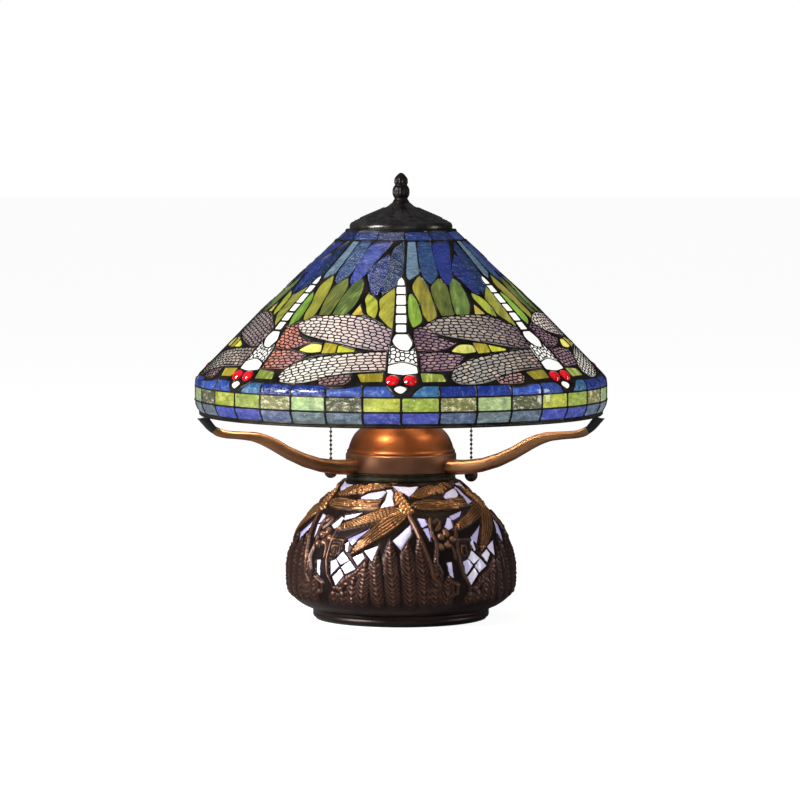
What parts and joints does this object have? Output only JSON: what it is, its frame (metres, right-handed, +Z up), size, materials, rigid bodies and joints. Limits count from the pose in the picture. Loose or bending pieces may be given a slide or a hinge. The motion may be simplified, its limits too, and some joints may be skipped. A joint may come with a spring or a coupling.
{
  "type": "stained glass table lamp",
  "caption": "Table lamp with a conical leaded-glass dragonfly shade, shade arms, pull chains and a cast urn base with lit mosaic panes.",
  "frame": {"origin": "centre of the felt under the foot, at the surface the lamp stands on, on the stem's axis", "axes": "+Z up along the stem, -Y towards the front where one dragonfly faces square on, +Y towards the cord inlet and the rear arm, +X to the right seen from the front"},
  "size_m": [0.406, 0.4266, 0.437],
  "materials": {
    "felt": "short pile",
    "bronze": "dark brown patina over a cast surface, raised parts rubbed copper",
    "neck_bronze": "dark green-brown patina",
    "iron": "rough casting",
    "steel": "plain",
    "brass": "lightly aged",
    "copper": "satin copper-bronze with darker edges",
    "tip_rubber": "matt black",
    "night_porcelain": "glazed",
    "socket_insulator": "unglazed",
    "cap_bronze": "dark patina, raised leaves rubbed brown",
    "chain_metal": "blackened",
    "black_plastic": "moulded",
    "wire_cover": "smooth",
    "lead": "black patina solder",
    "bulb_glass": "frosted, lit",
    "bulb_metal": "pressed thread",
    "mosaic_glass": "translucent, lit from inside",
    "crown_blue": "streaky, textured",
    "leaf_blue": "streaky, textured",
    "leaf_green": "streaky, textured",
    "white_opal": "opal",
    "ruby": "polished cabochon",
    "wing_opal": "opal, pink-white and streaked",
    "wing_mauve": "opal, mauve and streaked",
    "gap_yellow": "streaky, textured",
    "border_blue": "streaky, textured",
    "border_green": "streaky, textured",
    "border_violet": "streaky, textured"
  },
  "bodies": {
    "base": {"felt_pad": "felt", "foot_ring": "bronze", "weight_plate": "iron", "foot_screws": "brass", "base_shell": "bronze", "base_mosaic": "mosaic_glass", "cord_bushing": "black_plastic", "stem_pipe": "steel", "stem_nuts": "brass", "neck_ring": "neck_bronze", "hub_band": "copper", "hub_dome": "copper", "arm_left": "copper", "arm_right": "copper", "arm_rear": "copper", "arm_tips": "tip_rubber", "arm_screws": "brass", "night_socket": "night_porcelain", "night_bulb": "bulb_glass", "wiring": "wire_cover", "cluster_body": "brass", "cluster_arms": "brass", "riser_rod": "brass", "riser_nipple": "brass", "riser_nuts": "brass", "socket_caps": "brass", "socket_shells": "brass", "socket_liners": "socket_insulator", "pull_bells": "brass"},
    "bulb_left": {"bulb_screw_left": "bulb_metal", "bulb_globe_left": "bulb_glass"},
    "bulb_right": {"bulb_screw_right": "bulb_metal", "bulb_globe_right": "bulb_glass"},
    "switch_pin_left": {"pull_pin_left": "brass"},
    "switch_pin_right": {"pull_pin_right": "brass"},
    "pull_chain_left": {"chain_left": "chain_metal", "knob_left": "chain_metal"},
    "pull_chain_right": {"chain_right": "chain_metal", "knob_right": "chain_metal"},
    "shade": {"crown_ring": "brass", "spider": "brass", "leading_cone": "lead", "leading_skirt": "lead", "rim_wire": "lead", "crown_glass": "crown_blue", "leaf_blue": "leaf_blue", "leaf_green": "leaf_green", "tail_glass": "white_opal", "body_glass": "white_opal", "eye_jewels": "ruby", "wing_front": "wing_opal", "wing_behind": "wing_mauve", "wing_filigree": "lead", "gap_glass": "gap_yellow", "border_top": "border_blue", "border_middle": "border_green", "border_bottom": "border_violet"},
    "cap": {"vase_cap": "cap_bronze"},
    "finial_knob": {"finial": "cap_bronze"}
  },
  "joints": [
    {"name": "shade_lift", "type": "slide", "parent": "base", "child": "shade", "axis": [0, 0, 1], "range_m": [0, 0.25]},
    {"name": "cap_lift", "type": "slide", "parent": "shade", "child": "cap", "axis": [0, 0, 1], "range_m": [0, 0.1]},
    {"name": "finial_turn", "type": "hinge", "parent": "cap", "child": "finial_knob", "pos_m": [0, 0, 0.415], "axis": [0, 0, 1], "continuous": true},
    {"name": "bulb_left_turn", "type": "hinge", "parent": "base", "child": "bulb_left", "pos_m": [-0.048, 0, 0.26], "axis": [0, 0, 1], "continuous": true},
    {"name": "bulb_right_turn", "type": "hinge", "parent": "base", "child": "bulb_right", "pos_m": [0.048, 0, 0.26], "axis": [0, 0, 1], "continuous": true},
    {"name": "pull_left", "type": "slide", "parent": "base", "child": "switch_pin_left", "axis": [0, 0, -1], "range_m": [0, 0.006], "stiffness_N_per_m": 600, "springref_m": -0.002},
    {"name": "pull_right", "type": "slide", "parent": "base", "child": "switch_pin_right", "axis": [0, 0, -1], "range_m": [0, 0.006], "stiffness_N_per_m": 600, "springref_m": -0.002},
    {"name": "chain_left_swing", "type": "hinge", "parent": "switch_pin_left", "child": "pull_chain_left", "pos_m": [-0.069, 0, 0.2376], "axis": [1, 0, 0], "range_deg": [-10, 10]},
    {"name": "chain_right_swing", "type": "hinge", "parent": "switch_pin_right", "child": "pull_chain_right", "pos_m": [0.069, 0, 0.2376], "axis": [1, 0, 0], "range_deg": [-10, 10]}
  ]
}
